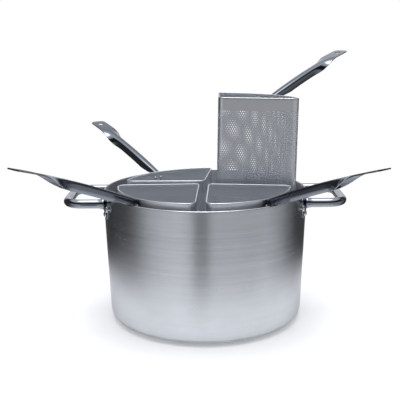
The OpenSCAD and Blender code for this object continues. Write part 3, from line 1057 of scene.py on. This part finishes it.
def basket_place(scene, name):
    """Where a basket stands or hangs, as a 4 x 4 array."""
    pot, basket = scene.pot_sizes, scene.basket_sizes
    grip, places = scene.grip_sizes, scene.places
    out, back = turned("Z", 45.0), turned("Z", -45.0)
    if name == "back_right":
        seat = basket.radius + grip.hook_sheet + pot.wall / 2.0 + grip.hook_clear
        return (
            turned("Z", 45.0 + places.hang_turn)
            @ moved(pot.rim_radius - pot.wall / 2.0, 0.0, pot.height + places.hang_clear)
            @ turned("Y", places.hang_lean)
            @ moved(-seat, 0.0, -grip.hook_seat)
            @ back
        )
    quarter = {"front_left": 180.0, "front_right": 270.0, "back_left": 90.0}[name]
    turn = places.rear_turn if name == "back_left" else places.front_turn
    x, y = getattr(places, name)
    r = basket.radius
    return (
        moved(x, y, pot.floor + places.floor_clear)
        @ turned("Z", quarter + turn)
        @ out
        @ moved(r, 0.0, 0.0)
        @ turned("Y", places.lean)
        @ moved(-r, 0.0, 0.0)
        @ back
    )


def outward_place(scene, name):
    """The frame of a basket's handle, rivets and hook: its X points outwards through the
    middle of the round wall."""
    return basket_place(scene, name) @ turned("Z", 45.0)


class POT_OT_basket_walls(bpy.types.Operator):
    """Makes the perforated walls, each in three parts cut in the middles of its sides"""

    bl_idname = "pasta_pot.basket_walls"
    bl_label = "Basket Walls"

    def execute(self, context):
        basket = context.scene.basket_sizes
        faces, cell, columns, u, z, outer, inner = perforated_wall(basket)
        spot, normal = outline_at(basket, u)
        sides = [
            np.concatenate([spot - normal * d[:, None], z[:, None]], axis=1) for d in (outer, inner)
        ]
        lengths = np.array([part_length(p) for p in outline_parts(basket)])
        middles = (np.cumsum(lengths) - lengths / 2.0) / lengths.sum() * columns
        cuts = middles[[1, 3, 5]].astype(int)
        for label, start, stop in zip(("a", "b", "axis"), cuts, np.roll(cuts, -1)):
            picked = faces[(cell - start) % columns < (stop - start) % columns]
            own, (outside, inside) = used_only([picked], *sides)
            points, solid, flags = sheet_solid(own, outside, inside)
            for name in BASKETS:
                add_piece(
                    context.scene, f"basket_{name}_wall_{label}",
                    carried(basket_place(context.scene, name), points), solid, "basket_satin",
                    f"basket_{name}", [f"basket_{name}_wall"], flags,
                    # The walls' inside faces get the basket steel painted lighter: painted light
                    inner_finish="basket_inside_painted_light",
                )
        return {"FINISHED"}


def depth_inside(basket, points):
    """How far points lie inside the outline, in plan."""
    g, r, rc, re, far = outline_sizes(basket)
    x, y = points[..., 0], points[..., 1]
    deep = np.minimum(np.minimum(x - g, y - g), r - np.hypot(x, y))
    near_axis = (x < g + rc) & (y < g + rc)
    deep = np.where(near_axis, rc - np.hypot(x - g - rc, y - g - rc), deep)
    for cx, cy in ((far, g + re), (g + re, far)):
        beyond = (x * cy < y * cx) if cx < cy else (x * cy > y * cx)
        beyond &= (y < cy) if cx > cy else (x < cx)
        outside = (np.maximum(x, y) > max(cx, cy)) & beyond
        deep = np.where(outside, re - np.hypot(x - cx, y - cy), deep)
    return deep


def base_holes(basket):
    """The base's holes in staggered rows, with the cells that lie inside the plain margin.
    Gives the points (x, y), how many of them are grid points, the faces, the cells'
    middles and half a cell's size."""
    g = basket.gap / 2.0
    half = np.array([basket.pitch / 2.0, basket.pitch * math.sqrt(3.0) / 4.0])
    columns, rows = ((basket.radius - g) / half / 2.0).astype(int)
    quads, middles, _, wide, tall = brick_faces(columns, rows, closed=False)
    i, j = np.meshgrid(np.arange(wide), np.arange(tall), indexing="ij")
    grid = g + np.stack([i.ravel(), j.ravel()], axis=1) * half
    centres = g + middles * half
    holes = centres[:, None, :] + hole_ring(basket)
    flat = np.concatenate([grid, holes.reshape(-1, 2)])
    cells = quads.reshape(-1, HOLE_SIDES, 4)
    deep = depth_inside(basket, flat[cells[:, :, 0]])
    kept = (deep > basket.base_margin + basket.sheet).all(axis=1)
    return flat, len(grid), cells[kept].reshape(-1, 4), centres[kept], half


def margin_triangles(points, edges, loop, centres, half):
    """Triangles between the edges round the holes' cells and a loop of further points,
    which are numbered on from the given ones."""
    ring_ids, rim = np.unique(edges, return_inverse=True)
    count = len(ring_ids)
    ids = count + np.arange(len(loop))
    constraints = np.concatenate([rim.reshape(-1, 2), np.stack([ids, np.roll(ids, -1)], axis=1)])
    given = np.concatenate([points[ring_ids], loop])
    corners = [tuple(p) for p in given.tolist()]
    made = delaunay_2d_cdt(corners, constraints.tolist(), [], 1, 1e-7)
    net = np.array([tuple(v) for v in made[0]])
    triangles = nearest_index(given, net)[np.array([f for f in made[2] if len(f) == 3])]
    triangles = triangles[~inside_cells(given[triangles].mean(axis=1), centres, half)]
    first, second, third = given[triangles.T]
    turn = np.cross(second - first, third - first)
    triangles = np.where((turn < 0)[:, None], triangles[:, ::-1], triangles)
    on_rim = ring_ids[np.minimum(triangles, count - 1)]
    return np.where(triangles < count, on_rim, triangles - count + len(points))


def perforated_base(basket):
    """The base seen from above: holes in staggered rows, a plain margin filled with
    triangles, and rings that bend up to the flange. Gives faces and the points of the
    upper and the lower side."""
    t, bend = basket.sheet, BASE_BEND
    flat, grid_count, cells, centres, half = base_holes(basket)
    n = len(flat)
    edges = open_edges([cells], n)
    edges = edges[(edges < grid_count).all(axis=1)]
    around = int(round(outline_length(basket) / basket.pitch)) * 2
    spot, normal = outline_at(basket, np.arange(around) * outline_length(basket) / around)
    start = t + EDGE_GAP
    triangles = margin_triangles(flat, edges, spot - normal * (start + bend), centres, half)
    turns = np.radians(np.linspace(0.0, 90.0, 7))
    sides = []
    for lift in (t, 0.0):
        rings_up = [
            (start + bend - (bend - lift) * math.sin(a), lift + (bend - lift) * (1 - math.cos(a)))
            for a in turns
        ]
        rings_up.append((start + lift, basket.flange))
        side = [np.concatenate([flat, np.full((n, 1), lift)], axis=1)]
        for inset, z in rings_up:
            side.append(np.concatenate([spot - normal * inset, np.full((around, 1), z)], axis=1))
        sides.append(np.concatenate(side))
    ids = n + np.arange((len(turns) + 1) * around).reshape(-1, around)
    bands = [ring_quads(outer, inner) for inner, outer in zip(ids[:-1], ids[1:])]
    return [np.concatenate([cells, *bands]), triangles], *sides


def nearest_index(given, found):
    """For each found point, the number of the given point that lies on it."""
    gap = ((found[:, None, :] - given[None, :, :]) ** 2).sum(axis=2)
    return gap.argmin(axis=1)


def inside_cells(points, centres, half):
    """Whether points lie in one of the brick cells with these centres and half sizes."""
    off = np.abs(points[:, None, :] - centres[None, :, :]) - 1e-7
    return (off < half).all(axis=2).any(axis=1)


class POT_OT_basket_bases(bpy.types.Operator):
    """Makes the perforated bases with their turned-up edges"""

    bl_idname = "pasta_pot.basket_bases"
    bl_label = "Basket Bases"

    def execute(self, context):
        faces, upper, lower = perforated_base(context.scene.basket_sizes)
        own, (outside, inside) = used_only(faces, upper, lower)
        points, solid, flags = sheet_solid(own, outside, inside)
        for name in BASKETS:
            # The bases get the basket steel painted lighter on both sides: painted light
            add_piece(
                context.scene, f"basket_{name}_base_plate",
                carried(basket_place(context.scene, name), points), solid,
                "basket_inside_painted_light", f"basket_{name}", [f"basket_{name}_base"], flags,
            )
        return {"FINISHED"}


# Basket handles


def ridge_slope(grip, s):
    """Slope of the ridge at length s, in radians."""
    return np.radians(grip.slope_root + (grip.slope_tip - grip.slope_root) * s / grip.long)


def ridge_point(basket, grip, s):
    """Place (x, z) of the ridge at length s, on a circle that bends down."""
    r = grip.long / math.radians(grip.slope_root - grip.slope_tip)
    a, a0 = ridge_slope(grip, s), math.radians(grip.slope_root)
    x = basket.radius + grip.sheet / 2.0 + r * (math.sin(a0) - np.sin(a))
    z = basket.height - GRIP_DROP + r * (np.cos(a) - math.cos(a0))
    return x, z


def fold_share(grip, s):
    """Share of the full fold at length s, 0 on the flat tab."""
    return smooth((grip.long - grip.tab - s) / grip.fold_run)


def side_length(grip, s):
    """Length of each side beyond the ridge, measured on the sheet."""
    body = grip.side_root + (grip.side_deep - grip.side_root) * smooth(s / grip.root_run)
    r = grip.tab_corner
    nose = np.clip((s - grip.long + r) / r, 0.0, 1.0)
    tab = grip.tab_width / 2.0 - grip.ridge - r * (1.0 - np.sqrt(1.0 - nose * nose))
    share = fold_share(grip, s)
    return tab * (1.0 - share) + body * share


def grip_point(basket, grip, s, k, depth):
    """Point of the handle at length s and share k, from -1 to 1, across it, depth under
    its skin. Beyond the flat ridge the sheet turns down, first tightly and then slowly,
    each on a circle of its own."""
    side = side_length(grip, s)
    v = np.abs(k) * (grip.ridge + side)
    share = fold_share(grip, s)
    first = 0.35 * side
    a1 = np.radians(np.maximum(0.05, grip.tight * share))
    a2 = np.radians(np.maximum(0.05, grip.slow * share))
    r1, r2 = first / a1, (side - first) / a2
    w = np.clip(v - grip.ridge, 0.0, None)
    tight = w < first
    a = np.where(tight, a1 * w / first, a1 + a2 * (w - first) / (side - first))
    y = np.where(tight, r1 * np.sin(a), r1 * np.sin(a1) + r2 * (np.sin(a) - np.sin(a1)))
    later = r1 * (np.cos(a1) - 1.0) + r2 * (np.cos(a) - np.cos(a1))
    drop = np.where(tight, r1 * (np.cos(a) - 1.0), later)
    y = np.where(v < grip.ridge, v, grip.ridge + y) - depth * np.sin(a)
    h = drop - depth * np.cos(a)
    ox, oz = ridge_point(basket, grip, s)
    slope = ridge_slope(grip, s)
    return np.stack([ox - h * np.sin(slope), np.sign(k) * y, oz + h * np.cos(slope)], axis=-1)


def grip_net(grip):
    """Grid over the handle in (s, k) with a round hole in the tab. The grid's cells round
    the hole are left out, and rings of quads join their border to the hole's circle.
    Gives points (s, k) and the faces."""
    half = grip.tab_width / 2.0
    r, centre, pad = grip.hole / 2.0, grip.long - grip.hole_in, HOLE_PAD
    nose, tab_start = grip.tab_corner, grip.long - grip.tab
    s = np.concatenate(
        [
            np.linspace(0.0, tab_start - grip.fold_run, 50)[:-1],
            np.linspace(tab_start - grip.fold_run, tab_start, 26)[:-1],
            np.linspace(tab_start, centre - pad, 16)[:-1],
            np.linspace(centre - pad, centre + pad, 9),
            grip.long - nose + nose * np.sin(np.radians(np.linspace(0.0, 90.0, 12))),
        ]
    )
    s = np.unique(np.round(s, 7))
    inner = np.linspace(-pad / half, pad / half, 9)
    outer = np.linspace(pad / half, 1.0, 16)[1:]
    k = np.concatenate([-outer[::-1], inner, outer])
    si, ki = np.meshgrid(s, k, indexing="ij")
    points = np.stack([si.ravel(), ki.ravel()], axis=1)
    faces = grid_faces(len(s), len(k))
    a, b = (int(np.abs(s - place).argmin()) for place in (centre - pad, centre + pad))
    c = len(outer)
    d = c + len(inner) - 1
    fi, fj = faces[:, 0] // len(k), faces[:, 0] % len(k)
    faces = faces[~((fi >= a) & (fi < b) & (fj >= c) & (fj < d))]
    border = (
        [(i, c) for i in range(a, b)] + [(b, j) for j in range(c, d)]
        + [(i, d) for i in range(b, a, -1)] + [(a, j) for j in range(d, c, -1)]
    )
    ids = np.array([i * len(k) + j for i, j in border])
    flat = points[ids] * [1.0, half] - [centre, 0.0]
    turn = np.arctan2(flat[:, 1], flat[:, 0])
    circle = r * np.stack([np.cos(turn), np.sin(turn)], axis=1)
    lines, added = [ids], []
    for share in (0.45, 0.8, 1.0):
        ring = (flat * (1.0 - share) + circle * share + [centre, 0.0]) / [1.0, half]
        lines.append(len(points) + len(added) * len(ids) + np.arange(len(ids)))
        added.append(ring)
    bands = [ring_quads(outside, inside) for outside, inside in zip(lines[:-1], lines[1:])]
    return np.concatenate([points, *added]), np.concatenate([faces, *bands])


class POT_OT_basket_grips(bpy.types.Operator):
    """Makes the folded sheet handles with their flat tabs and riveted plates"""

    bl_idname = "pasta_pot.basket_grips"
    bl_label = "Basket Handles"

    def execute(self, context):
        basket, grip = context.scene.basket_sizes, context.scene.grip_sizes
        net, faces = grip_net(grip)
        layers = [grip_point(basket, grip, *net.T, depth) for depth in (0.0, grip.sheet)]
        points, solid, flags = sheet_solid([faces], *layers)
        uv = np.tile(net * [1.0, 0.03], (2, 1))
        half = math.degrees(math.asin(grip.plate_width / 2.0 / basket.radius))
        top = basket.height - GRIP_DROP
        a = np.radians(np.linspace(-half, half, 15))
        zs = np.linspace(top - grip.plate_height, top, 9)
        ai, zi = np.meshgrid(a, zs, indexing="ij")
        layers = [round_points(basket.radius + d, ai, zi) for d in (grip.sheet, SKIN_GAP)]
        plate, plate_solid, plate_flags = sheet_solid([grid_faces(len(a), len(zs))], *layers)
        plate_uv = np.tile(np.stack([zi.ravel(), ai.ravel() * basket.radius], axis=1), (2, 1))
        for name in BASKETS:
            place = outward_place(context.scene, name)
            for label, spots, joined, sharp, grain in (
                ("grip", points, solid, flags, uv),
                ("grip_plate", plate, plate_solid, plate_flags, plate_uv),
            ):
                piece = add_piece(
                    context.scene, f"basket_{name}_{label}", carried(place, spots), joined,
                    "grip_satin_painted_shade", f"basket_{name}",
                    [f"basket_{name}_handle"], sharp, grain,
                )
                bevelled(piece, 0.0004)
        return {"FINISHED"}


class POT_OT_basket_rivets(bpy.types.Operator):
    """Makes the two rivets of each basket handle"""

    bl_idname = "pasta_pot.basket_rivets"
    bl_label = "Basket Rivets"

    def execute(self, context):
        basket, grip = context.scene.basket_sizes, context.scene.grip_sizes
        rise, depth = grip.rivet_rise, grip.sheet + basket.sheet + BASKET_PLAY
        one, faces = lathe(rivet_profile(BASKET_SHANK, grip.rivet_head, rise, depth, rise), 24)
        turn = math.degrees(math.asin(grip.rivet_pitch / 2.0 / basket.radius))
        high = basket.height - grip.rivet_drop
        for name in BASKETS:
            place = outward_place(context.scene, name)
            spots = [
                place @ turned("Z", side * turn)
                @ moved(basket.radius + grip.sheet + BASKET_SEAT, 0.0, high) @ turned("Y", 90.0)
                for side in (-1, 1)
            ]
            points = np.concatenate([carried(s, one) for s in spots])
            joined = [np.concatenate([f, f + len(one)]) for f in faces]
            add_piece(
                context.scene, f"basket_{name}_rivet_heads", points, joined, "rivet_steel",
                f"basket_{name}", [f"basket_{name}_rivets"],
            )
        return {"FINISHED"}


def hook_line(start, end, bend, low, middle, free):
    """One side of the strap's section in (radius, height): up at radius start from low, out
    over two bends whose middles lie at height middle, and down at radius end to free."""
    flat = start + bend + (end - start - 2 * bend) * np.linspace(0.0, 1.0, 4)[1:-1]
    up, down = np.linspace(low, middle, 8), np.linspace(middle, free, 6)[1:]
    return np.concatenate(
        [
            np.stack([np.full(len(up), start), up], axis=1),
            arc_points(start + bend, middle, bend, 180.0, 90.0, 8)[1:],
            np.stack([flat, np.full(len(flat), middle + bend)], axis=1),
            arc_points(end - bend, middle, bend, 90.0, 0.0, 8),
            np.stack([np.full(len(down), end), down], axis=1),
        ]
    )


def hook_section(basket, grip, pot):
    """The strap's outer and inner line: up the basket's wall, out over the seat and down
    the free leg, with both bends rounded."""
    near, t = basket.radius + SKIN_GAP, grip.hook_sheet
    gap = pot.wall + 2.0 * grip.hook_clear
    z = grip.hook_seat
    heights = z - grip.hook_pad, z - HOOK_BEND, z - grip.hook_leg
    return (
        hook_line(near, near + 2.0 * t + gap, HOOK_BEND + t, *heights),
        hook_line(near + t, near + t + gap, HOOK_BEND, *heights),
    )


class POT_OT_drain_hooks(bpy.types.Operator):
    """Makes the bent drain hook on each basket's round wall"""

    bl_idname = "pasta_pot.drain_hooks"
    bl_label = "Drain Hooks"

    def execute(self, context):
        scene = context.scene
        basket, grip = scene.basket_sizes, scene.grip_sizes
        lines = hook_section(basket, grip, scene.pot_sizes)
        along = len(lines[0])
        a = np.linspace(-1.0, 1.0, 7) * math.asin(grip.hook_width / 2.0 / basket.radius)
        layers = [round_points(line[:, 0], a[:, None], line[:, 1]) for line in lines]
        faces = grid_faces(len(a), along)
        points, solid, flags = sheet_solid([faces[:, ::-1]], *layers)
        run = np.tile(np.arange(along) * 0.002, len(a))
        uv = np.tile(np.stack([run, np.repeat(a * basket.radius, along)], axis=1), (2, 1))
        for name in BASKETS:
            place = outward_place(context.scene, name)
            piece = add_piece(
                scene, f"basket_{name}_drain_hook", carried(place, points), solid,
                "grip_satin_painted_shade", f"basket_{name}", [f"basket_{name}_hook"], flags, uv,
            )
            bevelled(piece, 0.0003)
        return {"FINISHED"}


# Stage


def studio_world(scene):
    """World light by direction: pale panels at the left front and the right front, dark
    sides, a pale wall behind and a bright ceiling. In front it is dark from the horizon
    up. The camera itself sees white."""
    world = bpy.data.worlds.new("studio")
    scene.world = world
    world.use_nodes = True
    f = Finish(world.node_tree)
    x, y, z = f.split(f.place("Generated"))
    turn = f.node("ShaderNodeMath", {"operation": "ARCTAN2"}, {0: x, 1: y * -1.0}) / math.pi
    stops = [(place, scaled(COOL, tone)) for place, tone in ROOM_TONES]
    room = f.node("ShaderNodeValToRGB", {"stops": stops}, {0: (turn + 1.0) / 2.0})

    def over(share, under, tone):
        """A tone laid over what has been built up so far."""
        return f.node(
            "ShaderNodeMix", {"data_type": "RGBA", "clamp_result": False},
            {0: share, 6: under, 7: (*(c * tone for c in COOL), 1.0)}, 2,
        )

    room = over(f.ease(z, -0.21, -0.12) * f.ease(y, -0.80, -0.97), room, 0.40)
    room = over(f.ease(z, -0.01, 0.14) * f.ease(y, 0.35, -0.05), room, 0.03)
    room = over(f.ease(z, -0.02, 0.08) * f.ease(y, 0.70, 0.92), room, 0.90)
    room = over(f.ease(z, 0.60, 0.80), room, 1.05)
    room = over(f.ease(z, 0.90, 0.97), room, 5.0)
    seen = f.node("ShaderNodeLightPath", None, None, "Is Camera Ray")
    lit = f.node("ShaderNodeBackground", None, {"Color": room, "Strength": 1.0})
    white = f.node("ShaderNodeBackground", None, {"Color": (1.0, 1.0, 1.0, 1.0), "Strength": 1.0})
    both = f.node("ShaderNodeMixShader", None, {0: seen, 1: lit, 2: white})
    f.node("ShaderNodeOutputWorld", None, {"Surface": both})


def ground_finish(scene):
    """A pale table that glows a little and fades away some distance from the pot, so that
    the pot mirrors it with the darker room beyond."""
    material = bpy.data.materials.new("ground")
    material.use_nodes = True
    f = Finish(material.node_tree)
    x, y, _ = f.split(f.place())
    out = (x * x + y * y) ** 0.5
    shader = f.node(
        "ShaderNodeBsdfPrincipled",
        None,
        {
            "Base Color": (*scene.finishes.ground, 1.0),
            "Emission Color": (0.25, 0.25, 0.25, 1.0),
            "Emission Strength": 1.0,
            "Roughness": 0.9,
            "Specular IOR Level": 0.1,
            "Alpha": f.ease(out, *reversed(TABLE_FADE)),
        },
    )
    f.node("ShaderNodeOutputMaterial", None, {"Surface": shader})
    return material


class POT_OT_stage(bpy.types.Operator):
    """Makes the pale table, the light of the room and the camera"""

    bl_idname = "pasta_pot.stage"
    bl_label = "Stage"

    def execute(self, context):
        scene = context.scene
        studio_world(scene)
        mesh = bpy.data.meshes.new("ground")
        reach, low = 8.0, -0.0005
        corners = [(x * reach, y * reach, low) for x, y in ((-1, -1), (1, -1), (1, 1), (-1, 1))]
        mesh.from_pydata(corners, [], [(0, 1, 2, 3)])
        mesh.materials.append(ground_finish(scene))
        ground = bpy.data.objects.new("ground", mesh)
        scene.collection.objects.link(ground)
        self.add_camera(scene)
        scene.view_settings.view_transform = "Standard"
        return {"FINISHED"}

    @staticmethod
    def add_camera(scene):
        """Camera in front of the pot, looking down a little."""
        studio = scene.studio
        down, yaw, roll = (math.radians(a) for a in (studio.pitch, studio.yaw, studio.roll))
        level = math.cos(down)
        ahead = np.array([math.sin(yaw) * level, math.cos(yaw) * level, -math.sin(down)])
        right = np.array([math.cos(yaw), -math.sin(yaw), 0.0])
        up = np.cross(right, ahead)
        c, s = math.cos(roll), math.sin(roll)
        right, up = c * right + s * up, c * up - s * right
        camera = bpy.data.cameras.new("camera")
        camera.lens, camera.sensor_width = studio.lens, 36.0
        item = bpy.data.objects.new("camera", camera)
        pose = np.eye(4)
        pose[:3, 0], pose[:3, 1], pose[:3, 2] = right, up, -ahead
        pose[:3, 3] = (0.0, -studio.distance, studio.eye)
        item.matrix_world = Matrix(pose.tolist())
        scene.collection.objects.link(item)
        scene.camera = item


class VIEW3D_PT_pasta_pot(bpy.types.Panel):
    """Lists the sizes and the operators in the sidebar"""

    bl_label = "Pasta Pot"
    bl_space_type = "VIEW_3D"
    bl_region_type = "UI"
    bl_category = "Pasta Pot"

    def draw(self, context):
        for operator in OPERATORS:
            self.layout.operator(operator.bl_idname)
        for name, group in GROUPS.items():
            box = self.layout.box()
            box.label(text=group.__doc__)
            for prop in group.__annotations__:
                box.prop(getattr(context.scene, name), prop)


OPERATORS = (
    POT_OT_stage,
    POT_OT_shell,
    POT_OT_handles,
    POT_OT_lugs,
    POT_OT_rivets,
    POT_OT_basket_walls,
    POT_OT_basket_bases,
    POT_OT_basket_grips,
    POT_OT_basket_rivets,
    POT_OT_drain_hooks,
)


def register():
    """Registers the groups, the operators and the panel."""
    for group in GROUPS.values():
        bpy.utils.register_class(group)
    for item in (*OPERATORS, VIEW3D_PT_pasta_pot):
        bpy.utils.register_class(item)
    for name, group in GROUPS.items():
        setattr(bpy.types.Scene, name, PointerProperty(type=group))


def unregister():
    """Takes all of it out again."""
    for name in GROUPS:
        delattr(bpy.types.Scene, name)
    for item in (VIEW3D_PT_pasta_pot, *reversed(OPERATORS), *reversed(GROUPS.values())):
        bpy.utils.unregister_class(item)


def main():
    """Registers the groups and builds every piece in order."""
    register()
    for operator in OPERATORS:
        group, name = operator.bl_idname.split(".")
        getattr(getattr(bpy.ops, group), name)()


if __name__ == "__main__":
    main()
